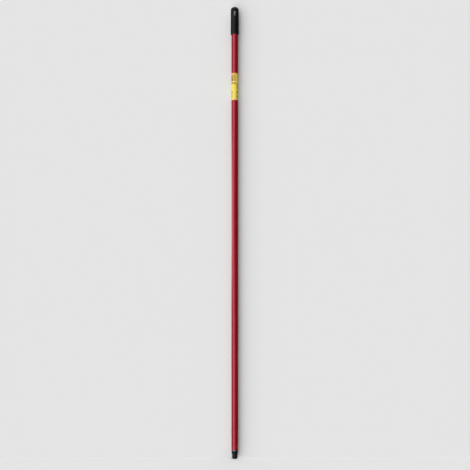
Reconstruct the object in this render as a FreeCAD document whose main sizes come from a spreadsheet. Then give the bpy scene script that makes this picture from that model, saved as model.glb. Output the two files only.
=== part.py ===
import FreeCAD, Part
import Sketcher

import math
import os

# A fixed-length painter's pole: a thin steel tube under a red plastic film, with a threaded
# tip staked into its lower end and a slotted hang cap pushed over its upper end.
#
# The frame: millimetres, +Z up along the pole's axis, the origin at the middle of the tip's
# end face. -Y is the front, where the label faces. The hang slot runs from front to back.

# ---------------------------------------------------------------- driving dimensions

SIZES = [
    # alias, value, what it measures
    ("pole_length", 1524.0, "whole pole, from the tip's end face to the top of the cap"),
    ("tube_radius", 10.9, "steel tube, outside"),
    ("tube_wall", 0.45, "steel tube's wall"),
    ("bead_width", 1.8, "inner weld bead, across"),
    ("bead_rise", 0.25, "inner weld bead, above the bore"),
    ("bead_setback", 2.8, "weld bead starts this far above the tube's lower end"),
    ("roll_height", 1.4, "stretch of the tube's lower end that is rolled inwards"),
    ("roll_inset", 0.5, "how far the rolled end turns in"),
    ("roll_knee_height", 0.5, "where the roll bends, above the tube's lower end"),
    ("roll_knee_inset", 0.15, "how far the roll has turned in where it bends"),
    ("stake_above_end", 13.5, "stakes' centres above the tube's lower end"),
    ("stake_ball", 6.0, "radius of the ball that presses a stake into the steel"),
    ("stake_depth", 0.7, "how deep a stake is"),
    ("film_thickness", 0.2, "red film"),
    ("film_setback_low", 3.4, "bare steel left below the film"),
    ("film_setback_top", 4.0, "bare steel left above the film, inside the cap"),
    ("lap_angle", 16.0, "film's lap, in degrees round the pole"),
    ("lap_rise", 0.12, "how far the lap stands above the film"),
    ("thread_radius", 9.525, "3/4 inch thread, crest"),
    ("thread_pitch", 5.08, "five threads to the inch"),
    ("thread_depth", 2.0, "thread, crest to root"),
    ("crest_flat", 2.1, "flat on a crest, along the axis"),
    ("root_flat", 1.9, "flat at a root, along the axis"),
    ("thread_length", 16.0, "tip's end face to the collar's shoulder"),
    ("relief_height", 2.2, "plain neck between the thread and the collar"),
    ("relief_depth", 0.15, "how far the plain neck lies below the thread's root"),
    ("nose_height", 3.5, "lead-in cone on the thread's end"),
    ("nose_inset", 1.0, "how far the lead-in cone narrows the end"),
    ("gate_radius", 2.2, "moulding gate recess in the tip's end face"),
    ("gate_depth", 0.6, "depth of the tip's gate recess"),
    ("collar_height", 10.3, "collar, from its shoulder to the tube"),
    ("collar_radius_top", 11.0, "collar where it meets the tube"),
    ("collar_radius_low", 10.4, "collar at its shoulder"),
    ("collar_round", 0.5, "rounding of the collar's edges"),
    ("shank_radius", 9.4, "shank inside the tube, between its ribs"),
    ("shank_height", 34.0, "shank above the tube's lower end"),
    ("shank_ribs", 6, "ribs round the shank"),
    ("rib_radius", 10.35, "shank's ribs, outside"),
    ("rib_width", 2.0, "shank rib, across"),
    ("rib_setback", 2.4, "shank's ribs start this far above the tube's lower end"),
    ("rib_slope", 4.0, "height over which a shank rib slopes away at its top"),
    ("rib_top_setback", 2.0, "shank's ribs end this far below its top"),
    ("neck_gap", 0.05, "room between the tip's neck and the tube's rolled end"),
    ("core_radius", 5.0, "core hole down the middle of the tip"),
    ("core_floor", 8.0, "solid end left below the core hole"),
    ("cap_length", 93.0, "cap, mouth to top"),
    ("cap_radius_mouth", 13.7, "cap at its mouth"),
    ("cap_radius_dome", 13.3, "cap where the dome starts"),
    ("dome_height", 10.0, "cap's domed top"),
    ("cap_gate_radius", 1.2, "moulding gate recess in the top of the dome"),
    ("cap_gate_depth", 0.3, "depth of the cap's gate recess"),
    ("socket_radius", 11.35, "socket that the pole stands in"),
    ("ledge_below_top", 42.0, "socket's floor below the cap's top"),
    ("socket_lead_in", 0.8, "chamfer inside the mouth"),
    ("mouth_round", 0.6, "rounding of the mouth's outer edge"),
    ("grip_ribs", 6, "ribs in the socket that grip the pole"),
    ("grip_rib_width", 1.2, "grip rib, across"),
    ("grip_rib_gap", 0.02, "room between a grip rib and the film"),
    ("grip_rib_setback", 5.0, "grip ribs start this far inside the mouth"),
    ("grip_rib_slope", 5.0, "height over which a grip rib rises at its start"),
    ("slot_width", 5.8, "hang slot, across"),
    ("slot_length", 23.5, "hang slot, end to end"),
    ("slot_below_top", 9.4, "hang slot's upper end below the cap's top"),
    ("slot_rim_round", 0.7, "rounding of the slot's rim"),
    ("pocket_wall", 1.7, "wall between the slot and a cored pocket"),
    ("pocket_radius", 10.1, "cored pockets, outer wall"),
    ("pocket_below_top", 6.6, "cored pockets' roof below the cap's top"),
    ("label_below_top", 224.6, "label's upper edge below the cap's top"),
    ("label_height", 90.9, "label, along the pole"),
    ("label_thickness", 0.12, "label's stock"),
    ("label_angle", 328.0, "how far round the pole the label reaches, in degrees"),
]

# Heights and radii that follow from the driving dimensions.
TUBE_LOW = "(Sizes.thread_length + Sizes.collar_height)"
TUBE_TOP = "(Sizes.pole_length - Sizes.ledge_below_top)"
TUBE_BORE = "(Sizes.tube_radius - Sizes.tube_wall)"
FILM_RADIUS = "(Sizes.tube_radius + Sizes.film_thickness)"
MID_FILM = "(Sizes.tube_radius + Sizes.film_thickness / 2)"
FILM_LOW = f"({TUBE_LOW} + Sizes.film_setback_low)"
FILM_TOP = f"({TUBE_TOP} - Sizes.film_setback_top)"
STAKE_HEIGHT = f"({TUBE_LOW} + Sizes.stake_above_end)"
STAKE_CENTRE = "(Sizes.tube_radius - Sizes.stake_depth + Sizes.stake_ball)"
ROOT_RADIUS = "(Sizes.thread_radius - Sizes.thread_depth)"
RELIEF_RADIUS = f"({ROOT_RADIUS} - Sizes.relief_depth)"
RELIEF_LOW = "(Sizes.thread_length - Sizes.relief_height)"
SHANK_TOP = f"({TUBE_LOW} + Sizes.shank_height)"
MOUTH = "(Sizes.pole_length - Sizes.cap_length)"
DOME_LOW = "(Sizes.pole_length - Sizes.dome_height)"
SLOT_TOP = "(Sizes.pole_length - Sizes.slot_below_top)"
SLOT_LOW = f"({SLOT_TOP} - Sizes.slot_length)"
LABEL_TOP = "(Sizes.pole_length - Sizes.label_below_top)"

STAKE_ANGLES = (150.0, 330.0)  # degrees from +X, each between two of the shank's ribs
EMBED = 0.2  # how far an added feature reaches into the wall that it grows from
BEYOND = 40.0  # a cut that passes right through the pole is this wide
NEAR = 0.01  # two lengths this close are the same length
LEAST_CUT = 1.0  # a cut takes away more than this many cubic millimetres

# Sketcher's numbers for the two axes of a sketch, its origin and the points of an edge.
H_AXIS = -1
V_AXIS = -2
START = 1
END = 2
CENTRE = 3

# ---------------------------------------------------------------- document and helpers

doc = FreeCAD.newDocument("RollerExtensionPole")
sizes = doc.addObject("Spreadsheet::Sheet", "Sizes")
for row, (alias, number, meaning) in enumerate(SIZES, start=1):
    sizes.set(f"A{row}", alias)
    sizes.set(f"B{row}", str(number))
    sizes.setAlias(f"B{row}", alias)
    sizes.set(f"C{row}", meaning)
doc.recompute()


def size(expression):
    """The number that an expression over the sheet comes to."""
    return float(sizes.evalExpression(expression))


def new_body(name):
    body = doc.addObject("PartDesign::Body", name)
    body.Label = name
    return body


def new_sketch(body, name, role, offset=None):
    """A sketch on one of the body's own origin planes, moved along its normal by offset."""
    sketch = body.newObject("Sketcher::SketchObject", name)
    plane = next(f for f in body.Origin.OriginFeatures if f.Role == role)
    sketch.AttachmentSupport = [(plane, "")]
    sketch.MapMode = "FlatFace"
    if offset:
        sketch.setExpression("AttachmentOffset.Base.z", offset)
    doc.recompute()
    return sketch


def pin_point(sketch, geometry, point, across, up):
    """Hold a point at two expressions, or on an axis where one of them is "0"."""
    for kind, expression, axis in (("DistanceX", across, V_AXIS), ("DistanceY", up, H_AXIS)):
        if expression == "0":
            sketch.addConstraint(Sketcher.Constraint("PointOnObject", geometry, point, axis))
            continue
        distance = Sketcher.Constraint(kind, H_AXIS, START, geometry, point, size(expression))
        index = sketch.addConstraint(distance)
        sketch.setExpression(f"Constraints[{index}]", expression)


def set_radius(sketch, geometry, expression):
    radius = Sketcher.Constraint("Radius", geometry, size(expression))
    index = sketch.addConstraint(radius)
    sketch.setExpression(f"Constraints[{index}]", expression)


def draw_outline(sketch, corners):
    """A closed outline of straight edges through corners, each a pair of expressions."""
    points = [FreeCAD.Vector(size(across), size(up), 0) for across, up in corners]
    lines = []
    for i, point in enumerate(points):
        following = points[(i + 1) % len(points)]
        lines.append(sketch.addGeometry(Part.LineSegment(point, following), False))
    for i, line in enumerate(lines):
        following = lines[(i + 1) % len(lines)]
        sketch.addConstraint(Sketcher.Constraint("Coincident", line, END, following, START))
    for line, (across, up) in zip(lines, corners):
        pin_point(sketch, line, START, across, up)
    doc.recompute()


def draw_circle(sketch, radius):
    """A circle about the sketch's origin."""
    shape = Part.Circle(FreeCAD.Vector(0, 0, 0), FreeCAD.Vector(0, 0, 1), size(radius))
    index = sketch.addGeometry(shape, False)
    sketch.addConstraint(Sketcher.Constraint("Coincident", index, CENTRE, H_AXIS, START))
    set_radius(sketch, index, radius)
    doc.recompute()


def revolve(body, name, role, corners, angle=None):
    """Turn an outline about the sketch's upright axis, all round or angle degrees wide."""
    sketch = new_sketch(body, f"{name}_outline", role)
    draw_outline(sketch, corners)
    feature = body.newObject("PartDesign::Revolution", name)
    feature.Profile = sketch
    feature.ReferenceAxis = (sketch, ["V_Axis"])
    if angle:
        feature.Midplane = True
        feature.setExpression("Angle", angle)
    else:
        feature.Angle = 360.0
    doc.recompute()
    return feature


def strip(body, name, role, corners, width, count=None):
    """Thicken an outline evenly both ways, and repeat it round the pole count times."""
    sketch = new_sketch(body, f"{name}_outline", role)
    draw_outline(sketch, corners)
    feature = body.newObject("PartDesign::Pad", name)
    feature.Profile = sketch
    feature.Midplane = True
    feature.setExpression("Length", width)
    doc.recompute()
    if not count:
        return feature
    pattern = body.newObject("PartDesign::PolarPattern", f"{name}_round")
    pattern.Originals = [feature]
    pattern.Axis = (sketch, ["V_Axis"])
    pattern.Angle = 360.0
    pattern.setExpression("Occurrences", count)
    body.Tip = pattern
    doc.recompute()
    return pattern


def pocket(body, name, sketch, length, upwards=False, both_ways=False):
    """Cut a sketch's shape into the body, and check that it removed something."""
    before = body.Shape.Volume
    feature = body.newObject("PartDesign::Pocket", name)
    feature.Profile = sketch
    feature.setExpression("Length", length)
    feature.Midplane = both_ways
    feature.Reversed = upwards
    doc.recompute()
    if body.Shape.Volume > before - LEAST_CUT:
        raise RuntimeError(f"{name} cut nothing")
    return feature


def round_edges(body, name, base, is_wanted, radius):
    """Round the edges of base that is_wanted picks out."""
    edges = [
        f"Edge{number}"
        for number, edge in enumerate(base.Shape.Edges, start=1)
        if not edge.Degenerated and is_wanted(edge)
    ]
    if not edges:
        raise RuntimeError(f"{name} found no edge")
    fillet = body.newObject("PartDesign::Fillet", name)
    fillet.Base = (base, edges)
    fillet.setExpression("Radius", radius)
    doc.recompute()
    return fillet


def is_ring(edge, radius, height):
    """Is this edge a full circle about the pole's axis, at this radius and height?"""
    curve = edge.Curve
    return (
        isinstance(curve, Part.Circle)
        and abs(curve.Radius - size(radius)) < NEAR
        and abs(curve.Center.z - size(height)) < NEAR
        and abs(curve.Center.x) + abs(curve.Center.y) < NEAR
    )


# ---------------------------------------------------------------- stakes


def staked(name, blank, envelope_radius, bulge_ball, dent_ball):
    """Press the stakes into a thin tube.

    At each stake a ball of the wall's inner size is added inside the envelope, where it
    bulges into the bore, and a smaller ball of the outer size is then taken away. The
    envelope reaches two of the stake's radii above and below its centre.
    """
    envelope = doc.addObject("Part::Cylinder", f"{name}_envelope")
    envelope.setExpression("Radius", envelope_radius)
    envelope.setExpression("Height", "4 * Sizes.stake_ball")
    envelope.setExpression("Placement.Base.z", f"{STAKE_HEIGHT} - 2 * Sizes.stake_ball")
    bulges = []
    dents = []
    for number, angle in enumerate(STAKE_ANGLES, start=1):
        for kind, radius, group in (("bulge", bulge_ball, bulges), ("dent", dent_ball, dents)):
            ball = doc.addObject("Part::Sphere", f"{name}_{kind}_{number}")
            ball.setExpression("Radius", radius)
            ball.setExpression("Placement.Base.x", f"{STAKE_CENTRE} * cos({angle} deg)")
            ball.setExpression("Placement.Base.y", f"{STAKE_CENTRE} * sin({angle} deg)")
            ball.setExpression("Placement.Base.z", STAKE_HEIGHT)
            group.append(ball)
    bulge_balls = doc.addObject("Part::MultiFuse", f"{name}_bulge_balls")
    bulge_balls.Shapes = bulges
    inside = doc.addObject("Part::Common", f"{name}_bulges")
    inside.Base = bulge_balls
    inside.Tool = envelope
    whole = doc.addObject("Part::Fuse", f"{name}_with_bulges")
    whole.Base = blank
    whole.Tool = inside
    dent_balls = doc.addObject("Part::MultiFuse", f"{name}_dent_balls")
    dent_balls.Shapes = dents
    result = doc.addObject("Part::Cut", name)
    result.Base = whole
    result.Tool = dent_balls
    result.Label = name
    doc.recompute()
    return result


# ---------------------------------------------------------------- steel tube


def make_steel_tube():
    """Thin welded tube. Its lower end is rolled inwards into the tip's neck."""
    body = new_body("tube_blank")
    roll_top = f"({TUBE_LOW} + Sizes.roll_height)"
    knee = f"({TUBE_LOW} + Sizes.roll_knee_height)"
    bead_low = f"({TUBE_LOW} + Sizes.bead_setback)"
    revolve(
        body,
        "tube_wall_section",
        "XZ_Plane",
        [
            (TUBE_BORE, roll_top),
            (f"{TUBE_BORE} - Sizes.roll_inset", TUBE_LOW),
            ("Sizes.tube_radius - Sizes.roll_inset", TUBE_LOW),
            ("Sizes.tube_radius - Sizes.roll_knee_inset", knee),
            ("Sizes.tube_radius", roll_top),
            ("Sizes.tube_radius", TUBE_TOP),
            (TUBE_BORE, TUBE_TOP),
        ],
    )
    strip(
        body,
        "weld_bead",
        "YZ_Plane",
        [
            (f"{TUBE_BORE} - Sizes.bead_rise", bead_low),
            (f"{TUBE_BORE} + {EMBED}", bead_low),
            (f"{TUBE_BORE} + {EMBED}", TUBE_TOP),
            (f"{TUBE_BORE} - Sizes.bead_rise", TUBE_TOP),
        ],
        "Sizes.bead_width",
    )
    return staked(
        "steel_tube",
        body,
        f"Sizes.tube_radius - {EMBED}",
        "Sizes.stake_ball + Sizes.tube_wall",
        "Sizes.stake_ball",
    )


# ---------------------------------------------------------------- red film


def make_film():
    """Plastic film round the tube, with one lengthwise lap at the back."""
    body = new_body("film_blank")
    revolve(
        body,
        "film_section",
        "XZ_Plane",
        [
            ("Sizes.tube_radius", FILM_LOW),
            (FILM_RADIUS, FILM_LOW),
            (FILM_RADIUS, FILM_TOP),
            ("Sizes.tube_radius", FILM_TOP),
        ],
    )
    revolve(
        body,
        "film_lap",
        "YZ_Plane",
        [
            (MID_FILM, FILM_LOW),
            (f"{FILM_RADIUS} + Sizes.lap_rise", FILM_LOW),
            (f"{FILM_RADIUS} + Sizes.lap_rise", FILM_TOP),
            (MID_FILM, FILM_TOP),
        ],
        angle="Sizes.lap_angle",
    )
    return staked(
        "red_film_sleeve",
        body,
        MID_FILM,
        "Sizes.stake_ball",
        "Sizes.stake_ball - Sizes.film_thickness",
    )


# ---------------------------------------------------------------- label


def make_label():
    """Label stock wrapped round the front of the pole, short of the film's lap."""
    body = new_body("label")
    low = f"({LABEL_TOP} - Sizes.label_height)"
    revolve(
        body,
        "label_section",
        "YZ_Plane",
        [
            (f"-{FILM_RADIUS}", low),
            (f"-{FILM_RADIUS}", LABEL_TOP),
            (f"-({FILM_RADIUS} + Sizes.label_thickness)", LABEL_TOP),
            (f"-({FILM_RADIUS} + Sizes.label_thickness)", low),
        ],
        angle="Sizes.label_angle",
    )
    return body


# ---------------------------------------------------------------- threaded tip


def cut_thread(body):
    """A trapezoidal groove wound round the blank, from below its nose up into the relief."""
    sketch = new_sketch(body, "thread_groove_outline", "XZ_Plane")
    flank = "((Sizes.thread_pitch - Sizes.crest_flat - Sizes.root_flat) / 2)"
    half_root = "(Sizes.root_flat / 2)"
    middle = "(-Sizes.thread_pitch)"
    outside = f"(Sizes.thread_radius + {flank})"
    widen = f"({flank} * ({outside} - {ROOT_RADIUS}) / Sizes.thread_depth)"
    draw_outline(
        sketch,
        [
            (ROOT_RADIUS, f"{middle} - {half_root}"),
            (outside, f"{middle} - {half_root} - {widen}"),
            (outside, f"{middle} + {half_root} + {widen}"),
            (ROOT_RADIUS, f"{middle} + {half_root}"),
        ],
    )
    groove = body.newObject("PartDesign::SubtractiveHelix", "thread_groove")
    groove.Profile = sketch
    groove.ReferenceAxis = (sketch, ["V_Axis"])
    groove.Mode = "pitch-height-angle"
    groove.setExpression("Pitch", "Sizes.thread_pitch")
    groove.setExpression("Height", "Sizes.thread_pitch + Sizes.thread_length")
    doc.recompute()


def make_threaded_tip():
    """Moulded tip: thread and collar outside, and a ribbed shank inside the tube.

    The thread is cut before the collar is added, so its groove can run out past the
    relief and the collar's shoulder still stays whole.
    """
    body = new_body("threaded_tip")
    revolve(
        body,
        "thread_section",
        "XZ_Plane",
        [
            ("0", "0"),
            ("Sizes.thread_radius - Sizes.nose_inset", "0"),
            ("Sizes.thread_radius", "Sizes.nose_height"),
            ("Sizes.thread_radius", RELIEF_LOW),
            (RELIEF_RADIUS, RELIEF_LOW),
            (RELIEF_RADIUS, "Sizes.thread_length"),
            ("Sizes.core_radius", "Sizes.thread_length"),
            ("Sizes.core_radius", "Sizes.core_floor"),
            ("0", "Sizes.core_floor"),
        ],
    )
    cut_thread(body)
    neck_radius = f"({TUBE_BORE} - Sizes.roll_inset - Sizes.neck_gap)"
    neck_top = f"({TUBE_LOW} + Sizes.rib_setback)"
    section = revolve(
        body,
        "collar_and_shank_section",
        "XZ_Plane",
        [
            ("Sizes.core_radius", "Sizes.thread_length"),
            ("Sizes.collar_radius_low", "Sizes.thread_length"),
            ("Sizes.collar_radius_top", TUBE_LOW),
            (neck_radius, TUBE_LOW),
            (neck_radius, neck_top),
            ("Sizes.shank_radius", neck_top),
            ("Sizes.shank_radius", SHANK_TOP),
            ("Sizes.core_radius", SHANK_TOP),
        ],
    )
    round_edges(
        body,
        "collar_edges",
        section,
        lambda edge: is_ring(edge, "Sizes.collar_radius_low", "Sizes.thread_length")
        or is_ring(edge, "Sizes.collar_radius_top", TUBE_LOW),
        "Sizes.collar_round",
    )
    rib_top = f"({SHANK_TOP} - Sizes.rib_top_setback)"
    strip(
        body,
        "shank_rib",
        "XZ_Plane",
        [
            (f"Sizes.shank_radius - {EMBED}", neck_top),
            ("Sizes.rib_radius", neck_top),
            ("Sizes.rib_radius", f"{rib_top} - Sizes.rib_slope"),
            (f"Sizes.shank_radius - {EMBED}", rib_top),
        ],
        "Sizes.rib_width",
        count="Sizes.shank_ribs",
    )
    sketch = new_sketch(body, "tip_gate_outline", "XY_Plane")
    draw_circle(sketch, "Sizes.gate_radius")
    pocket(body, "tip_gate_recess", sketch, "Sizes.gate_depth", upwards=True)
    return body


# ---------------------------------------------------------------- hang cap


def draw_slot(sketch):
    """An upright slot with round ends, centred on the sketch's upright axis."""
    half = "(Sizes.slot_width / 2)"
    top = f"({SLOT_TOP} - {half})"
    low = f"({SLOT_LOW} + {half})"
    normal = FreeCAD.Vector(0, 0, 1)
    right = FreeCAD.Vector(size(half), 0, 0)
    upper = FreeCAD.Vector(0, size(top), 0)
    lower = FreeCAD.Vector(0, size(low), 0)
    upper_circle = Part.Circle(upper, normal, size(half))
    lower_circle = Part.Circle(lower, normal, size(half))
    upper_arc = Part.ArcOfCircle(upper_circle, 0, math.pi)
    lower_arc = Part.ArcOfCircle(lower_circle, math.pi, 2 * math.pi)
    top_end = sketch.addGeometry(upper_arc, False)
    left_side = sketch.addGeometry(Part.LineSegment(upper - right, lower - right), False)
    low_end = sketch.addGeometry(lower_arc, False)
    right_side = sketch.addGeometry(Part.LineSegment(lower + right, upper + right), False)
    for first, first_end, second, second_end in (
        (top_end, END, left_side, START),
        (left_side, END, low_end, START),
        (low_end, END, right_side, START),
        (right_side, END, top_end, START),
    ):
        tangent = Sketcher.Constraint("Tangent", first, first_end, second, second_end)
        sketch.addConstraint(tangent)
    pin_point(sketch, top_end, CENTRE, "0", top)
    pin_point(sketch, low_end, CENTRE, "0", low)
    set_radius(sketch, top_end, half)
    doc.recompute()


def draw_segments(sketch, radius, chord):
    """Two circle segments, left and right of the middle, each cut off by a chord."""
    centre = FreeCAD.Vector(0, 0, 0)
    full = Part.Circle(centre, FreeCAD.Vector(0, 0, 1), size(radius))
    half_angle = math.acos(size(chord) / size(radius))
    for middle, side in ((0.0, chord), (math.pi, f"-{chord}")):
        shape = Part.ArcOfCircle(full, middle - half_angle, middle + half_angle)
        line = Part.LineSegment(shape.EndPoint, shape.StartPoint)
        arc = sketch.addGeometry(shape, False)
        straight = sketch.addGeometry(line, False)
        sketch.addConstraint(Sketcher.Constraint("Coincident", arc, CENTRE, H_AXIS, START))
        sketch.addConstraint(Sketcher.Constraint("Coincident", arc, END, straight, START))
        sketch.addConstraint(Sketcher.Constraint("Coincident", straight, END, arc, START))
        sketch.addConstraint(Sketcher.Constraint("Vertical", straight))
        set_radius(sketch, arc, radius)
        distance = Sketcher.Constraint("DistanceX", H_AXIS, START, straight, START, size(side))
        index = sketch.addConstraint(distance)
        sketch.setExpression(f"Constraints[{index}]", side)
    doc.recompute()


OUTSIDE_POCKETS = "(Sizes.pocket_radius + 1)"  # clear of the pockets' walls
RIM_SAMPLES = 5  # points tried along an edge of the slot


def is_slot_rim(edge):
    """Does this edge lie where the slot breaks through the cap's outer surface?"""
    points = edge.discretize(RIM_SAMPLES)
    return all(
        abs(p.x) < size("Sizes.slot_width / 2") + NEAR
        and math.hypot(p.x, p.y) > size(OUTSIDE_POCKETS)
        and size(SLOT_LOW) - NEAR < p.z < size(SLOT_TOP) + NEAR
        for p in points
    )


def make_hang_cap():
    """Moulded cap: a socket below, and a domed head with a slot and two cored pockets."""
    body = new_body("hang_cap")
    revolve(
        body,
        "cap_section",
        "XZ_Plane",
        [
            ("0", TUBE_TOP),
            ("Sizes.socket_radius", TUBE_TOP),
            ("Sizes.socket_radius", f"{MOUTH} + Sizes.socket_lead_in"),
            ("Sizes.socket_radius + Sizes.socket_lead_in", MOUTH),
            ("Sizes.cap_radius_mouth", MOUTH),
            ("Sizes.cap_radius_dome", DOME_LOW),
            ("0", DOME_LOW),
        ],
    )
    dome = body.newObject("PartDesign::AdditiveEllipsoid", "dome")
    dome.setExpression("Radius1", "Sizes.dome_height")
    dome.setExpression("Radius2", "Sizes.cap_radius_dome")
    dome.setExpression("Radius3", "Sizes.cap_radius_dome")
    dome.Angle1 = 0.0
    dome.Angle2 = 90.0
    dome.setExpression("Placement.Base.z", DOME_LOW)
    doc.recompute()
    rib_low = f"({MOUTH} + Sizes.grip_rib_setback)"
    strip(
        body,
        "grip_rib",
        "XZ_Plane",
        [
            (f"{FILM_RADIUS} + Sizes.grip_rib_gap", f"{rib_low} + Sizes.grip_rib_slope"),
            (f"Sizes.socket_radius + {EMBED}", rib_low),
            (f"Sizes.socket_radius + {EMBED}", TUBE_TOP),
            (f"{FILM_RADIUS} + Sizes.grip_rib_gap", TUBE_TOP),
        ],
        "Sizes.grip_rib_width",
        count="Sizes.grip_ribs",
    )
    sketch = new_sketch(body, "cap_gate_outline", "XY_Plane", offset="Sizes.pole_length")
    draw_circle(sketch, "Sizes.cap_gate_radius")
    pocket(body, "cap_gate_recess", sketch, "Sizes.cap_gate_depth")
    sketch = new_sketch(body, "pockets_outline", "XY_Plane", offset=TUBE_TOP)
    draw_segments(sketch, "Sizes.pocket_radius", "(Sizes.slot_width / 2 + Sizes.pocket_wall)")
    pocket_height = "Sizes.ledge_below_top - Sizes.pocket_below_top"
    pocket(body, "cored_pockets", sketch, pocket_height, upwards=True)
    sketch = new_sketch(body, "slot_outline", "XZ_Plane")
    draw_slot(sketch)
    slot = pocket(body, "hang_slot", sketch, str(BEYOND), both_ways=True)
    rim = round_edges(body, "slot_rim", slot, is_slot_rim, "Sizes.slot_rim_round")
    round_edges(
        body,
        "mouth_edge",
        rim,
        lambda edge: is_ring(edge, "Sizes.cap_radius_mouth", MOUTH),
        "Sizes.mouth_round",
    )
    return body


steel_tube = make_steel_tube()
red_film_sleeve = make_film()
label = make_label()
threaded_tip = make_threaded_tip()
hang_cap = make_hang_cap()
SUB_PARTS = [steel_tube, red_film_sleeve, label, threaded_tip, hang_cap]

# ---------------------------------------------------------------- checks and export

doc.recompute()
for item in doc.Objects:
    if "Invalid" in item.State or "Error" in item.State:
        raise RuntimeError(f"{item.Label} failed: {item.State}")
for item in SUB_PARTS:
    shape = item.Shape
    if shape.isNull() or not shape.isValid() or len(shape.Solids) != 1:
        raise RuntimeError(f"{item.Label} is not one valid solid")

os.makedirs("parts", exist_ok=True)
for item in SUB_PARTS:
    item.Shape.exportStep(f"parts/{item.Label}.step")
    box = item.Shape.BoundBox
    print(
        f"{item.Label:18} volume {item.Shape.Volume:9.1f} mm3,"
        f" z {box.ZMin:8.2f} to {box.ZMax:8.2f}, x {box.XMin:6.2f} to {box.XMax:6.2f}"
    )
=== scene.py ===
"""Looks for a painter's pole: materials, a finer film and label, a studio and a camera."""
import math
import random

import bpy
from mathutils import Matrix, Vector, noise


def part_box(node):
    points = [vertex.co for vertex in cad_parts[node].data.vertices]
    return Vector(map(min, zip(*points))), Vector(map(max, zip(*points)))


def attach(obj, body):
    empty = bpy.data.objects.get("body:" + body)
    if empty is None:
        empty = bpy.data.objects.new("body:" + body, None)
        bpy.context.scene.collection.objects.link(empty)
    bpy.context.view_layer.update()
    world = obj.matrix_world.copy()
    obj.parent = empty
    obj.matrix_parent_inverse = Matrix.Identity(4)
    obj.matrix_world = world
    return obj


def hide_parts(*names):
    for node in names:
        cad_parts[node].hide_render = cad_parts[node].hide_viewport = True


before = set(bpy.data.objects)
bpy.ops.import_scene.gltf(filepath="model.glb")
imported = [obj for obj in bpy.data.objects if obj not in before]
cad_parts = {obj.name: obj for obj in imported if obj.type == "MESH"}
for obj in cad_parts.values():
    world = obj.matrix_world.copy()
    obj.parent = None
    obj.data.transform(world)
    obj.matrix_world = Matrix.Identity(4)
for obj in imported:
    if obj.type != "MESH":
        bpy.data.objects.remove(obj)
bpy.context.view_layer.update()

# ---------------------------------------------------------------- the pole, in millimetres

MM = 0.001
FULL_TURN = 2 * math.pi


def heights(node):
    """Lowest and highest point of a CAD node, in millimetres."""
    low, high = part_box(node)
    return low.z / MM, high.z / MM


TIP_LOW, TIP_HIGH = heights("threaded_tip")
TUBE_LOW, TUBE_HIGH = heights("steel_tube")
FILM_LOW, FILM_HIGH = heights("red_film_sleeve")
LABEL_LOW, LABEL_HIGH = heights("label")
MOUTH, CAP_TOP = heights("hang_cap")

TUBE_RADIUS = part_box("steel_tube")[1].x / MM
FILM_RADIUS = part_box("red_film_sleeve")[1].x / MM
LABEL_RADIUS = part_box("label")[1].x / MM
CAP_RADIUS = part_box("hang_cap")[1].x / MM
LAP_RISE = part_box("red_film_sleeve")[1].y / MM - FILM_RADIUS
LABEL_STOCK = LABEL_RADIUS - FILM_RADIUS

SHOULDER = 16.0  # underside of the tip's collar
FILM_STOCK = 0.2  # thickness of the film
STAKE_HEIGHT = TUBE_LOW + 13.5
STAKE_ANGLES = (150.0, 330.0)  # degrees from +X
STAKE_BALL = 6.0  # radius of the ball that presses a stake into the tube
STAKE_DEPTH = 0.7
STAKE_CENTRE = TUBE_RADIUS - STAKE_DEPTH + STAKE_BALL  # from the axis to the ball's centre
STAKE_HOLLOW = STAKE_BALL - FILM_STOCK  # radius of the hollow that the film shows
LAP_CUT = 8.0  # the film's cut edge, in degrees past the back

SLOT_HALF_WIDTH = 2.9  # the cap's hang slot, whose ends are round
SLOT_HIGH = CAP_TOP - 9.4
SLOT_LOW = SLOT_HIGH - 23.5


# ---------------------------------------------------------------- shader arithmetic


class Number:
    """A number in a node tree. Arithmetic on it adds Math nodes."""

    def __init__(self, tree, socket):
        self.tree = tree
        self.socket = socket

    def __add__(self, other):
        return self.tree.math("ADD", self, other)

    def __radd__(self, other):
        return self.tree.math("ADD", other, self)

    def __sub__(self, other):
        return self.tree.math("SUBTRACT", self, other)

    def __rsub__(self, other):
        return self.tree.math("SUBTRACT", other, self)

    def __mul__(self, other):
        return self.tree.math("MULTIPLY", self, other)

    def __truediv__(self, other):
        return self.tree.math("DIVIDE", self, other)


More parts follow.
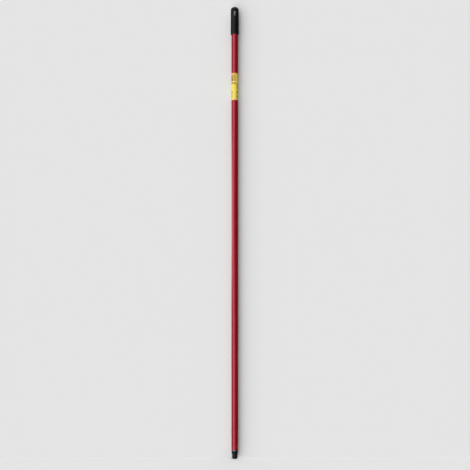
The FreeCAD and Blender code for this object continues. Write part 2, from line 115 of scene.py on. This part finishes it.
class Tree:
    """A node tree, with short calls for what the materials and the world share."""

    def __init__(self, node_tree):
        self.nodes = node_tree.nodes
        self.links = node_tree.links
        self.nodes.clear()

    def set(self, socket, value):
        """Link a Number or a socket, or write a plain value."""
        if isinstance(value, Number):
            value = value.socket
        if isinstance(value, bpy.types.NodeSocket):
            self.links.new(value, socket)
        else:
            socket.default_value = value

    def math(self, operation, first, second=0.0):
        node = self.nodes.new("ShaderNodeMath")
        node.operation = operation
        for socket, value in zip(node.inputs, (first, second)):
            self.set(socket, value)
        return Number(self, node.outputs[0])

    def highest(self, first, second):
        return self.math("MAXIMUM", first, second)

    def size_of(self, value):
        """The value without its sign."""
        return self.math("ABSOLUTE", value)

    def remap(self, value, low, high, at_low=0.0, at_high=1.0):
        """A smooth step from at_low to at_high as the value goes from low to high."""
        node = self.nodes.new("ShaderNodeMapRange")
        node.interpolation_type = "SMOOTHSTEP"
        for name, number in (
            ("Value", value),
            ("From Min", low),
            ("From Max", high),
            ("To Min", at_low),
            ("To Max", at_high),
        ):
            self.set(node.inputs[name], number)
        return Number(self, node.outputs["Result"])

    def band(self, value, low, high, soft):
        """1 between low and high and 0 outside, with soft edges."""
        return self.remap(value, low - soft, low + soft) * self.remap(
            value, high - soft, high + soft, 1.0, 0.0
        )

    def split(self, socket, scale=1.0):
        """The three coordinates that a vector socket carries, times scale."""
        node = self.nodes.new("ShaderNodeSeparateXYZ")
        self.links.new(socket, node.inputs[0])
        parts = [Number(self, output) for output in node.outputs]
        return parts if scale == 1.0 else [part * scale for part in parts]

    def noise(self, at, detail=2.0, rough=0.5):
        """Smooth noise, about 0.5 on average, at a place given by three numbers."""
        place = self.nodes.new("ShaderNodeCombineXYZ")
        for socket, value in zip(place.inputs, at):
            self.set(socket, value)
        node = self.nodes.new("ShaderNodeTexNoise")
        node.inputs["Scale"].default_value = 1.0
        node.inputs["Detail"].default_value = detail
        node.inputs["Roughness"].default_value = rough
        self.links.new(place.outputs[0], node.inputs["Vector"])
        return Number(self, node.outputs["Fac"])

    def mix(self, share, first, second):
        """The first colour, turning into the second as share goes from 0 to 1."""
        node = self.nodes.new("ShaderNodeMix")
        node.data_type = "RGBA"
        for name, value in (("Factor", share), ("A", first), ("B", second)):
            socket = next(s for s in node.inputs if s.name == name and s.enabled)
            if isinstance(value, tuple):
                value = (*value, 1.0)
            self.set(socket, value)
        return next(s for s in node.outputs if s.enabled)

    def choose(self, share, first, second, output):
        """Link a new output to the first shader, or to the second where share is 1."""
        node = self.nodes.new("ShaderNodeMixShader")
        for socket, source in zip(node.inputs, (share, first.outputs[0], second.outputs[0])):
            self.links.new(source, socket)
        self.links.new(node.outputs[0], self.nodes.new(output).inputs["Surface"])


COAT_ROUGHNESS = 0.16


class Surface(Tree):
    """A material with one Principled shader, and its place on the pole in millimetres."""

    def __init__(self, name):
        self.material = bpy.data.materials.new(name)
        self.material.use_nodes = True
        super().__init__(self.material.node_tree)
        self.shader = self.nodes.new("ShaderNodeBsdfPrincipled")
        output = self.nodes.new("ShaderNodeOutputMaterial")
        self.links.new(self.shader.outputs[0], output.inputs["Surface"])
        place = self.nodes.new("ShaderNodeTexCoord").outputs["Object"]
        self.x, self.y, self.z = self.split(place, 1 / MM)

    def radius(self):
        """The distance from the pole's axis."""
        return self.math("SQRT", self.x * self.x + self.y * self.y)

    def grain(self, across, along, seed=0.0, detail=2.0, rough=0.5):
        """Noise whose blotches are across and along the pole by so many millimetres."""
        at = (self.x / across + seed, self.y / across - seed, self.z / along + seed)
        return self.noise(at, detail, rough)

    def patches(self, across, along, share, seed=0.0, soft=0.03, detail=2.0):
        """1 in scattered patches and 0 between them. A higher share leaves fewer."""
        return self.remap(self.grain(across, along, seed, detail), share - soft, share + soft)

    def finish(self, colour, roughness, relief, depth, metal=0.0, specular=0.5, coat=0.0):
        """Connect the shader. Relief is a height in units of depth, in millimetres."""
        bump = self.nodes.new("ShaderNodeBump")
        bump.inputs["Distance"].default_value = depth * MM
        self.set(bump.inputs["Height"], relief)
        self.set(self.shader.inputs["Base Color"], colour)
        self.set(self.shader.inputs["Roughness"], roughness)
        self.set(self.shader.inputs["Normal"], bump.outputs[0])
        self.shader.inputs["Metallic"].default_value = metal
        self.shader.inputs["Specular IOR Level"].default_value = specular
        self.shader.inputs["Coat Weight"].default_value = coat
        self.shader.inputs["Coat Roughness"].default_value = COAT_ROUGHNESS
        return self.material


# ---------------------------------------------------------------- materials


def red_film_material():
    """Glossy red shrink film: lengthwise draw lines, scratches and worn ends."""
    film = Surface("red_film_glossy")
    clouds = film.grain(30.0, 160.0, seed=3.0)
    lines = film.grain(1.1, 90.0, seed=7.0, detail=3.0)
    fine_lines = film.grain(0.45, 24.0, seed=11.0)
    scratch_zone = film.patches(14.0, 60.0, 0.54, seed=19.0, soft=0.08)
    scratches = film.patches(0.55, 26.0, 0.67, seed=23.0, soft=0.02) * scratch_zone
    low_wear = film.remap(film.z, FILM_LOW, FILM_LOW + 26.0, 1.0, 0.0)
    cap_wear = film.remap(film.z, MOUTH - 14.0, MOUTH, 0.0, 1.0)
    chips = film.patches(2.2, 5.0, 0.60, seed=31.0) * film.highest(low_wear, cap_wear)
    back = film.math("ARCTAN2", film.x, film.y) * (180 / math.pi)
    lap_line = film.band(back, -LAP_CUT - 0.6, -LAP_CUT + 0.6, 0.25)

    colour = film.mix(clouds, (0.34, 0.0034, 0.0150), (0.42, 0.0050, 0.0220))
    colour = film.mix(lines * 0.30, colour, (0.29, 0.004, 0.014))
    colour = film.mix(fine_lines * 0.16, colour, (0.56, 0.018, 0.042))
    colour = film.mix(scratches * 0.34, colour, (0.66, 0.13, 0.13))
    colour = film.mix(chips * 0.30, colour, (0.34, 0.10, 0.10))
    colour = film.mix(lap_line * 0.75, colour, (0.09, 0.004, 0.007))
    roughness = 0.17 + clouds * 0.06 + lines * 0.05 + scratches * 0.22 + chips * 0.25
    relief = lines * 0.5 + fine_lines * 0.25 - scratches * 0.6 - chips * 0.5
    return film.finish(colour, roughness, relief, 0.01, metal=0.3, coat=0.45)


def bare_steel_material():
    """Drawn steel with lengthwise lines, a little tarnish and a burnished lower edge."""
    steel = Surface("bare_steel_drawn")
    lines = steel.grain(0.35, 14.0, seed=5.0, detail=3.0)
    tarnish = steel.patches(3.0, 4.0, 0.55, seed=13.0, soft=0.12)
    edge = steel.remap(steel.z, TUBE_LOW, TUBE_LOW + 0.9, 1.0, 0.0)
    colour = steel.mix(lines, (0.20, 0.20, 0.21), (0.29, 0.29, 0.30))
    colour = steel.mix(tarnish * 0.5, colour, (0.20, 0.17, 0.15))
    colour = steel.mix(edge * 0.5, colour, (0.42, 0.42, 0.42))
    roughness = 0.30 + lines * 0.16 + tarnish * 0.18 - edge * 0.08
    return steel.finish(colour, roughness, lines + tarnish * 0.3, 0.015, metal=1.0)


def black_nylon_material():
    """Moulded nylon: a fine matt skin, knit lines and polished, scuffed thread crests."""
    nylon = Surface("black_nylon_moulded")
    skin = nylon.grain(0.5, 0.5, seed=2.0, detail=3.0)
    flow = nylon.grain(3.0, 6.0, seed=9.0)
    radius = nylon.radius()
    on_thread = nylon.remap(nylon.z, SHOULDER - 0.5, SHOULDER, 1.0, 0.0)
    crests = nylon.remap(radius, 8.6, 9.4) * on_thread
    foot = nylon.remap(nylon.z, 0.0, 1.2, 1.0, 0.0)
    scuffs = nylon.patches(1.2, 1.2, 0.52, seed=17.0, soft=0.06)
    worn = nylon.highest(crests * (0.35 + scuffs * 0.65), foot * scuffs)
    collar_edge = nylon.band(nylon.z, SHOULDER - 0.1, SHOULDER + 0.7, 0.2)
    collar_edge = collar_edge * nylon.remap(radius, 9.6, 10.2)
    worn = nylon.highest(worn, collar_edge * (0.3 + scuffs * 0.5))
    colour = nylon.mix(flow, (0.0040, 0.0042, 0.0045), (0.0085, 0.0088, 0.0092))
    colour = nylon.mix(worn * 0.6, colour, (0.060, 0.060, 0.062))
    roughness = 0.40 + skin * 0.10 - worn * 0.10
    relief = skin + flow * 0.5 - scuffs * worn * 0.8
    return nylon.finish(colour, roughness, relief, 0.03, specular=0.2)


def cap_material():
    """Satin black cap: moulded grain, a parting line, and rubbed rims and dome."""
    cap = Surface("black_cap_satin")
    skin = cap.grain(0.7, 0.7, seed=4.0, detail=3.0)
    flow = cap.grain(9.0, 22.0, seed=6.0)
    parting = cap.band(cap.y, -0.12, 0.12, 0.05) * cap.remap(cap.radius(), 11.9, 12.2)
    scratches = cap.patches(0.9, 6.0, 0.66, seed=21.0, soft=0.03)
    scratches = scratches * cap.patches(7.0, 14.0, 0.50, seed=25.0, soft=0.1)
    dome = cap.remap(cap.z, CAP_TOP - 5.0, CAP_TOP)
    mouth = cap.remap(cap.z, MOUTH, MOUTH + 1.6, 1.0, 0.0)
    middle = (SLOT_HIGH + SLOT_LOW) / 2
    half_straight = (SLOT_HIGH - SLOT_LOW) / 2 - SLOT_HALF_WIDTH
    beyond = cap.highest(cap.size_of(cap.z - middle) - half_straight, 0.0)
    from_slot = cap.math("SQRT", cap.x * cap.x + beyond * beyond) - SLOT_HALF_WIDTH
    rim = cap.band(from_slot, -0.2, 0.9, 0.4)
    rubbed = cap.patches(1.6, 1.6, 0.50, seed=29.0, soft=0.1)
    worn = cap.highest(cap.highest(dome * 0.7, mouth), rim * 0.8) * (0.25 + rubbed * 0.75)
    colour = cap.mix(flow, (0.0025, 0.0026, 0.0030), (0.0060, 0.0062, 0.0070))
    colour = cap.mix(scratches * 0.5, colour, (0.050, 0.050, 0.052))
    colour = cap.mix(worn * 0.35, colour, (0.040, 0.040, 0.042))
    colour = cap.mix(parting * 0.4, colour, (0.030, 0.030, 0.032))
    roughness = 0.24 + flow * 0.06 + skin * 0.06 + scratches * 0.12 - worn * 0.06
    relief = skin * 0.6 + flow * 0.4 - scratches * 0.5 + parting * 1.5
    return cap.finish(colour, roughness, relief, 0.03, specular=0.20)


# the label's printed areas, in distances below its top
TOP_BAND_FOOT = 8.6
GOLD_FOOT = 37.4
FOOT_BAND_TOP = 85.7


def label_material():
    """Laminated label stock: printed bands, paper fibres and grubby edges."""
    label = Surface("label_printed")
    down = LABEL_HIGH - label.z
    front_angle = label.math("ARCTAN2", label.x, label.y * -1.0)
    across = front_angle * LABEL_RADIUS
    fibres = label.grain(0.8, 2.4, seed=8.0, detail=3.0)
    fade = label.grain(9.0, 18.0, seed=12.0)
    soft = 0.2
    top_band = label.remap(down, TOP_BAND_FOOT - soft, TOP_BAND_FOOT + soft, 1.0, 0.0)
    gold_panel = label.band(down, TOP_BAND_FOOT, GOLD_FOOT, soft)
    pale_stripe = label.band(down, 27.8, 31.0, soft)
    clear_side = label.remap(across, 3.4, 3.8) * label.remap(down, 3.0, 3.4)
    clear_side = clear_side * label.remap(across, 15.0, 15.4, 1.0, 0.0)
    foot_band = label.remap(down, FOOT_BAND_TOP - soft, FOOT_BAND_TOP + soft)
    tall = LABEL_HIGH - LABEL_LOW
    edge = 1.2
    near_edge = label.highest(
        label.remap(down, 0.0, edge, 1.0, 0.0), label.remap(down, tall - edge, tall)
    )
    rubbed = label.patches(1.5, 3.0, 0.62, seed=14.0, soft=0.05)
    yellow = label.mix(fade, (0.93, 0.72, 0.085), (0.96, 0.80, 0.12))
    colour = label.mix(gold_panel, yellow, (0.54, 0.36, 0.030))
    colour = label.mix(pale_stripe, colour, (0.90, 0.76, 0.30))
    colour = label.mix(top_band, colour, (0.80, 0.42, 0.10))
    colour = label.mix(clear_side, colour, yellow)
    colour = label.mix(foot_band, colour, (0.88, 0.60, 0.20))
    colour = label.mix(fibres * 0.10, colour, (0.60, 0.48, 0.10))
    colour = label.mix(rubbed * 0.12, colour, (0.95, 0.92, 0.70))
    colour = label.mix(near_edge * 0.35, colour, (0.40, 0.27, 0.08))
    roughness = 0.36 + fibres * 0.10 + rubbed * 0.15
    return label.finish(colour, roughness, fibres + fade, 0.02)


def ink_material():
    """Dark printing ink on the label, a little uneven."""
    ink = Surface("label_ink_dark")
    cover = ink.grain(0.6, 0.6, seed=15.0, detail=2.0)
    colour = ink.mix(cover, (0.030, 0.022, 0.010), (0.060, 0.045, 0.016))
    return ink.finish(colour, 0.34 + cover * 0.12, cover, 0.01)


# ---------------------------------------------------------------- meshes


def new_piece(name, vertices, faces, material, node=None):
    """A smooth mesh piece, given in millimetres, that rides on the pole."""
    mesh = bpy.data.meshes.new(name)
    mesh.from_pydata([Vector(v) * MM for v in vertices], [], faces)
    mesh.validate()
    mesh.polygons.foreach_set("use_smooth", [True] * len(mesh.polygons))
    mesh.materials.append(material)
    piece = bpy.data.objects.new(name, mesh)
    bpy.context.scene.collection.objects.link(piece)
    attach(piece, "root")
    if node:
        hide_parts(node)
    return piece


def steps(low, high, longest):
    """Evenly spaced values from low up to, but not including, high."""
    count = math.ceil((high - low) / longest)
    return [low + (high - low) * i / count for i in range(count)]


def ease(value, low, high):
    """0 below low, 1 above high and smooth between."""
    share = min(max((value - low) / (high - low), 0.0), 1.0)
    return share * share * (3 - 2 * share)


def unevenness(angle, height):
    """Slow dents and waves in the pole's surface, in millimetres."""
    around = Vector((math.cos(angle), math.sin(angle), 0.0))
    slow = noise.noise(around * 0.8 + Vector((0.0, 0.0, height / 70.0)))
    quick = noise.noise(around * 2.2 + Vector((5.0, 3.0, height / 16.0)))
    return 0.020 * slow + 0.006 * quick


def lap(angle):
    """Height of the film's lap at an angle from +X: a draped side and a cut side."""
    from_back = math.degrees(angle) - 90.0
    draped = ease(from_back, -13.0, -6.0)
    cut = ease(from_back, LAP_CUT - 0.8, LAP_CUT)
    return LAP_RISE * (draped - cut)


def stake_dent(angle, height, radius):
    """The film's radius at a point, less where a stake has pulled it in."""
    for stake in STAKE_ANGLES:
        turn = angle - math.radians(stake)
        beside = STAKE_CENTRE * math.sin(turn)
        rise = height - STAKE_HEIGHT
        reach = STAKE_HOLLOW**2 - beside**2 - rise**2
        if math.cos(turn) > 0 and reach > 0:
            radius = min(radius, STAKE_CENTRE * math.cos(turn) - math.sqrt(reach))
    return radius


RAGGED_REACH = 3.0  # the film's lower end is ragged over this height
PUCKER_REACH = 16.0  # and puckered over this one
RUCK_REACH = 10.0  # the film rucks over this height below the cap


def film_radius(angle, height):
    """Outside radius of the film at an angle from +X and a height."""
    around = Vector((math.cos(angle), math.sin(angle), 0.0))
    radius = FILM_RADIUS + unevenness(angle, height) + lap(angle)
    above_end = height - FILM_LOW
    if above_end < PUCKER_REACH:
        pucker = noise.noise(around * 6.0 + Vector((0.0, 0.0, height / 5.0)))
        radius += 0.10 * pucker * math.exp(-above_end / 4.0)
        radius += 0.05 * math.exp(-above_end / 0.8)  # the cut curls out a little
    below_mouth = MOUTH - height
    if 0 < below_mouth < RUCK_REACH:
        ruck = noise.noise(around * 3.0 + Vector((9.0, 0.0, height / 1.6)))
        radius += 0.05 * ruck * math.exp(-below_mouth / 3.0)
    return stake_dent(angle, height, radius)


def ragged_lift(around, height):
    """How far the ragged cut raises a point near the film's lower end."""
    if height >= FILM_LOW + RAGGED_REACH:
        return 0.0
    ragged = 0.35 * noise.noise(around * 2.4) * math.exp(-(height - FILM_LOW) / 1.5)
    return max(ragged, 0.0)


def make_film():
    """The film as a closed sleeve, with a slightly ragged lower end."""
    segments = 128
    above_ragged = FILM_LOW + RAGGED_REACH
    above_stakes = STAKE_HEIGHT + 4.0
    below_rucks = MOUTH - RUCK_REACH
    stations = steps(FILM_LOW, above_ragged, 0.5)
    stations += steps(above_ragged, above_stakes, 0.5)
    stations += steps(above_stakes, below_rucks, 8.0)
    stations += steps(below_rucks, MOUTH, 1.0)
    stations += steps(MOUTH, FILM_HIGH, 12.0) + [FILM_HIGH]
    rings = stations + [FILM_HIGH, FILM_LOW]  # the last two are the inside

    vertices = []
    for number, height in enumerate(rings):
        inside = number >= len(stations)
        for i in range(segments):
            angle = FULL_TURN * i / segments
            around = Vector((math.cos(angle), math.sin(angle), 0.0))
            radius = TUBE_RADIUS if inside else film_radius(angle, height)
            vertices.append((*(around.xy * radius), height + ragged_lift(around, height)))
    faces = []
    for number in range(len(rings)):
        here = number * segments
        following = (number + 1) % len(rings) * segments
        for i in range(segments):
            beside = (i + 1) % segments
            faces.append((here + i, here + beside, following + beside, following + i))
    return new_piece(
        "red_film", vertices, faces, red_film_material(), "red_film_sleeve"
    )


LABEL_HALF_ANGLE = math.radians(164.0)  # from the front to each end of the label
LABEL_CORNER = 3.0
LABEL_BUBBLES = (
    # angle from the front in degrees, distance below the label's top, radius, height
    (-70.0, 22.0, 2.6, 0.10),
    (-24.0, 61.0, 1.8, 0.07),
    (52.0, 44.0, 2.2, 0.09),
    (118.0, 70.0, 3.0, 0.12),
    (-132.0, 40.0, 2.4, 0.10),
)


def label_surface(front_angle, height):
    """A point on the label's face, at an angle from the front and a height."""
    angle = front_angle - math.pi / 2
    radius = film_radius(angle, height) + LABEL_STOCK
    for degrees, down, reach, rise in LABEL_BUBBLES:
        across = LABEL_RADIUS * (front_angle - math.radians(degrees))
        away = math.hypot(across, LABEL_HIGH - down - height) / reach
        if away < 1.0:
            radius += rise * (1 - away * away) ** 2
    end = LABEL_RADIUS * (LABEL_HALF_ANGLE - abs(front_angle))
    radius += 0.10 * math.exp(-max(end, 0.0) / 1.2)
    return Vector((radius * math.cos(angle), radius * math.sin(angle), height))


def make_label():
    """The label as a closed sheet with rounded corners, a few bubbles and lifting ends."""
    columns = 164
    corner_steps = 6
    corner_turns = [math.pi / 2 * i / corner_steps for i in range(corner_steps + 1)]
    lower = [LABEL_LOW + LABEL_CORNER * (1 - math.cos(t)) for t in corner_turns]
    upper = [LABEL_HIGH - LABEL_CORNER * (1 - math.cos(t)) for t in reversed(corner_turns)]
    rows = lower + steps(lower[-1], upper[0], 1.0)[1:] + upper

    outside = []
    inside = []
    for height in rows:
        to_end = min(height - LABEL_LOW, LABEL_HIGH - height, LABEL_CORNER)
        inset = LABEL_CORNER - math.sqrt(LABEL_CORNER**2 - (LABEL_CORNER - to_end) ** 2)
        half = LABEL_HALF_ANGLE - inset / LABEL_RADIUS
        for i in range(columns + 1):
            face = label_surface(half * (2 * i / columns - 1), height)
            back = face.copy()
            back.xy *= 1 - LABEL_STOCK / face.xy.length
            outside.append(face)
            inside.append(back)
    width = columns + 1
    count = len(outside)
    faces = []
    for row in range(len(rows) - 1):
        for i in range(columns):
            a = row * width + i
            b, c, d = a + 1, a + 1 + width, a + width
            faces.append((a, b, c, d))
            faces.append((count + d, count + c, count + b, count + a))
    border = list(range(width))
    border += [row * width + columns for row in range(1, len(rows))]
    border += [(len(rows) - 1) * width + i for i in reversed(range(columns))]
    border += [row * width for row in reversed(range(1, len(rows) - 1))]
    for a, b in zip(border, border[1:] + border[:1]):
        faces.append((b, a, count + a, count + b))
    return new_piece(
        "label_sheet", outside + inside, faces, label_material(), "label"
    )


INK_RISE = 0.02  # ink stands this far above the label
INK_SINK = 0.04  # and reaches this far into it
INK_STEP = 1.0  # longest flat stretch of ink round the label


def add_ink(vertices, faces, outline):
    """A thin slab of ink in the shape of an outline.

    The outline lists points in pairs, left and right, from the bottom to the top. Each
    is a distance round the label from the front and a distance below its top.
    """
    widest = max(right - left for (left, _), (right, _) in outline)
    slices = math.ceil(widest / INK_STEP)
    rows = []
    for (left, left_down), (right, right_down) in outline:
        for offset in (INK_RISE, -INK_SINK):
            row = []
            for i in range(slices + 1):
                share = i / slices
                across = left + (right - left) * share
                down = left_down + (right_down - left_down) * share
                point = label_surface(across / LABEL_RADIUS, LABEL_HIGH - down)
                point.xy *= 1 + offset / point.xy.length
                row.append(len(vertices))
                vertices.append(point)
            rows.append(row)
    faces_up = rows[0::2]
    faces_down = rows[1::2]
    for top, low, top_after, low_after in zip(
        faces_up, faces_down, faces_up[1:], faces_down[1:]
    ):
        for i in range(slices):
            faces.append((top[i], top[i + 1], top_after[i + 1], top_after[i]))
            faces.append((low_after[i], low_after[i + 1], low[i + 1], low[i]))
        faces.append((low[0], top[0], top_after[0], low_after[0]))
        faces.append((top[-1], low[-1], low_after[-1], top_after[-1]))
    for top, low, flip in (
        (faces_up[0], faces_down[0], False),
        (faces_up[-1], faces_down[-1], True),
    ):
        for i in range(slices):
            quad = (low[i], low[i + 1], top[i + 1], top[i])
            faces.append(quad[::-1] if flip else quad)


def bar(left, right, high, low):
    """The outline of a rectangle. High and low are distances below the label's top."""
    levels = steps(high, low, 2 * INK_STEP) + [low]
    return [((left, down), (right, down)) for down in reversed(levels)]


WORD_WIDTHS = (1.0, 3.4)
LEAST_WORD = 0.8  # a line ends when less than this is left
WORD_GAP = 0.45
LETTER_SHARE = 0.55  # height of a word as a share of the lines' pitch


def text_lines(left, right, high, lines, pitch, seed, ragged=0.35):
    """Bars that stand for lines of small print: words of uneven length.

    A line may end short of the right by up to the ragged share of its width.
    """
    dice = random.Random(seed)
    outlines = []
    for line in range(lines):
        top = high + line * pitch
        end = right - dice.uniform(0.0, ragged) * (right - left)
        start = left
        while start < end - LEAST_WORD:
            word_end = min(start + dice.uniform(*WORD_WIDTHS), end)
            outlines.append(bar(start, word_end, top, top + LETTER_SHARE * pitch))
            start = word_end + WORD_GAP
    return outlines


def roller_sign(left, high, scale):
    """A paint roller seen from the front: its sleeve, bent wire and handle."""
    shapes = (
        # left, right, top and foot, each from the sign's upper left corner
        (0.0, 7.0, 0.0, 2.6),  # sleeve
        (7.0, 8.4, 1.1, 1.6),  # wire, in four runs
        (7.9, 8.4, 1.6, 4.4),
        (3.2, 8.4, 4.0, 4.4),
        (3.2, 3.7, 4.4, 5.6),
        (2.6, 4.3, 5.6, 10.4),  # handle
    )
    return [
        bar(left + a * scale, left + b * scale, high + c * scale, high + d * scale)
        for a, b, c, d in shapes
    ]


def arrow(left, high, scale, down=False):
    """An arrow that points up or down: a stem and a triangle, 3 wide and 6 tall times scale."""
    # left, right and distance below the tip, from the stem's end to the tip
    levels = ((1.0, 2.0, 6.0), (1.0, 2.0, 3.0), (0.0, 3.0, 3.0), (1.45, 1.55, 0.0))
    outline = []
    for start, end, below in levels:
        depth = high + (6.0 - below if down else below) * scale
        outline.append(((left + start * scale, depth), (left + end * scale, depth)))
    return outline[::-1] if down else outline


def stripes(left, high, low, seed, count):
    """A row of upright bars of uneven width."""
    dice = random.Random(seed)
    outlines = []
    start = left
    for _ in range(count):
        width = dice.choice((0.25, 0.25, 0.5, 0.75))
        outlines.append(bar(start, start + width, high, low))
        start += width + dice.choice((0.3, 0.3, 0.55))
    return outlines


def make_ink():
    """The label's printing: rules, roller signs, arrows, stripes and lines of small print.

    Every place is a distance round the label from the front and one below its top.
    """
    around = LABEL_RADIUS * LABEL_HALF_ANGLE - 2.5  # how far the rules reach
    outlines = [bar(-around, 3.4, 8.5, 8.8), bar(-around, around, 37.2, 37.8)]
    outlines += [bar(-around, around, 85.2, 85.45)]
    # the gold panel's heading and small print
    outlines += text_lines(-14.6, -6.6, 11.4, 2, 3.0, seed=1)
    outlines += text_lines(-13.6, -4.8, 19.4, 3, 2.6, seed=2, ragged=0.15)
    outlines += text_lines(-12.0, 2.6, 32.2, 1, 1.7, seed=3, ragged=0.0)
    # the yellow panel's small print, left and right of the plain middle
    outlines += text_lines(-14.6, -5.4, 61.6, 4, 2.5, seed=4, ragged=0.2)
    outlines += text_lines(-14.6, -5.8, 74.8, 3, 2.4, seed=5, ragged=0.2)
    outlines += text_lines(6.8, 15.0, 37.9, 3, 2.2, seed=6)
    outlines += text_lines(7.2, 15.0, 46.4, 3, 2.2, seed=7)
    outlines += text_lines(6.2, 15.4, 60.0, 5, 2.2, seed=8)
    outlines += text_lines(5.6, 15.4, 75.8, 3, 2.2, seed=9)
    # the sides and the back
    outlines += roller_sign(17.6, 13.6, 1.5)
    outlines += roller_sign(-29.0, 44.0, 1.3)
    outlines += [arrow(19.0, 42.8, 1.6), arrow(24.8, 42.8, 1.6, down=True)]
    outlines += text_lines(18.0, 29.0, 58.8, 9, 2.2, seed=10)
    outlines += text_lines(-29.0, -17.6, 12.0, 8, 2.4, seed=11)
    outlines += stripes(-28.6, 65.0, 79.0, seed=12, count=13)
    vertices = []
    faces = []
    for outline in outlines:
        add_ink(vertices, faces, outline)
    return new_piece("label_ink", vertices, faces, ink_material())


def dress_cad_nodes():
    """Give the CAD nodes that stay in view their materials."""
    for node, material in (
        ("steel_tube", bare_steel_material()),
        ("threaded_tip", black_nylon_material()),
        ("hang_cap", cap_material()),
    ):
        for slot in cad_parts[node].material_slots:
            slot.material = material


# ---------------------------------------------------------------- studio

BACKGROUND = 0.7758  # the pale grey behind the pole, as linear light

# How light the floor and the board are painted, so that in this light they look as bright as
# the background wherever no shadow falls. A change to the panels calls for both to be set
# again: each is scaled by the background over what it then shows.
FLOOR_LIGHTNESS = 0.7754
BOARD_LIGHTNESS = 0.8477


def make_studio():
    """A pale light tent: soft panels all round, the brightest at the front left.

    Left and rise are the direction from the pole, in degrees: left from straight in front,
    and up from level. Seen directly, the tent is one plain pale grey.
    """
    world = bpy.data.worlds.new("studio")
    world.use_nodes = True
    tree = Tree(world.node_tree)
    direction = tree.nodes.new("ShaderNodeTexCoord").outputs["Generated"]
    x, y, z = tree.split(direction)
    to_degrees = 180 / math.pi
    left = tree.math("ARCTAN2", x * -1.0, y * -1.0) * to_degrees
    rise = tree.math("ARCSINE", z) * to_degrees

    # The pole's middle mirrors the band near level. There the key gives way to a panel further
    # to the left, which makes the pole's highlight narrower in the middle than at its ends.
    level = tree.band(rise, -3.5, 6.5, 1.5)
    side = tree.band(left, 38.0, 150.0, 8.0) * level
    key = tree.band(left, -3.0, 76.0, 6.0) * tree.remap(left, 10.0, 26.0, 0.68, 1.0)
    key = key * (1.0 - level)
    front_top = tree.band(left, -85.0, 30.0, 12.0) * tree.band(rise, 34.0, 74.0, 8.0)
    behind = tree.remap(tree.size_of(left), 105.0, 125.0)
    back_top = behind * tree.band(rise, 26.0, 74.0, 6.0)
    back_low = behind * tree.remap(rise, -30.0, -20.0, 1.0, 0.0)
    light = 0.05 + key * 1.50 + side * 1.9 + front_top * 1.9 + back_top * 1.1 + back_low * 0.6

    lit = tree.nodes.new("ShaderNodeBackground")
    seen = tree.nodes.new("ShaderNodeBackground")
    for background, strength in ((lit, light), (seen, BACKGROUND)):
        background.inputs["Color"].default_value = (1.0, 1.0, 1.0, 1.0)
        tree.set(background.inputs["Strength"], strength)
    seen_directly = tree.nodes.new("ShaderNodeLightPath").outputs["Is Camera Ray"]
    tree.choose(seen_directly, lit, seen, "ShaderNodeOutputWorld")
    bpy.context.scene.world = world


def stage_sheet(name, corners, lightness):
    """A flat matt sheet that takes the pole's shadow. From behind it can't be seen.

    Its lightness makes it as bright as the plain background, so that only the shadow shows.
    """
    material = bpy.data.materials.new(name)
    material.use_nodes = True
    tree = Tree(material.node_tree)
    paint = tree.nodes.new("ShaderNodeBsdfDiffuse")
    paint.inputs["Color"].default_value = (lightness, lightness, lightness, 1.0)
    clear = tree.nodes.new("ShaderNodeBsdfTransparent")
    from_behind = tree.nodes.new("ShaderNodeNewGeometry").outputs["Backfacing"]
    tree.choose(from_behind, paint, clear, "ShaderNodeOutputMaterial")

    mesh = bpy.data.meshes.new(name)
    mesh.from_pydata([Vector(corner) * MM for corner in corners], [], [(0, 1, 2, 3)])
    mesh.materials.append(material)
    sheet = bpy.data.objects.new(name, mesh)
    bpy.context.scene.collection.objects.link(sheet)
    sheet.visible_shadow = False
    sheet.visible_diffuse = False
    sheet.visible_glossy = False
    sheet.visible_transmission = False


def make_floor():
    """A wide pale floor that the pole stands on."""
    reach = 6000.0
    stage_sheet(
        "floor",
        [(-reach, -reach, 0), (reach, -reach, 0), (reach, reach, 0), (-reach, reach, 0)],
        FLOOR_LIGHTNESS,
    )


def make_backboard():
    """A pale board just behind the pole, on which its shadow falls."""
    reach = 1000.0
    top = CAP_TOP + 500.0
    gap = 1.6  # between the cap and the board
    back = CAP_RADIUS + gap
    stage_sheet(
        "backboard",
        [(-reach, back, 0), (reach, back, 0), (reach, back, top), (-reach, back, top)],
        BOARD_LIGHTNESS,
    )


def make_camera():
    """A level camera in front of the pole, a little below its middle."""
    data = bpy.data.cameras.new("camera")
    data.lens = 56.69
    data.sensor_width = 36.0
    camera = bpy.data.objects.new("camera", data)
    distance = 2500.0
    to_the_right = 0.84
    below_middle = 7.9
    height = (TIP_LOW + CAP_TOP) / 2 - below_middle
    camera.location = Vector((to_the_right, -distance, height)) * MM
    camera.rotation_euler = (math.pi / 2, 0.0, 0.0)
    bpy.context.scene.collection.objects.link(camera)
    bpy.context.scene.camera = camera


make_film()
make_label()
make_ink()
dress_cad_nodes()
make_studio()
make_floor()
make_backboard()
make_camera()
bpy.context.scene.view_settings.view_transform = "Standard"
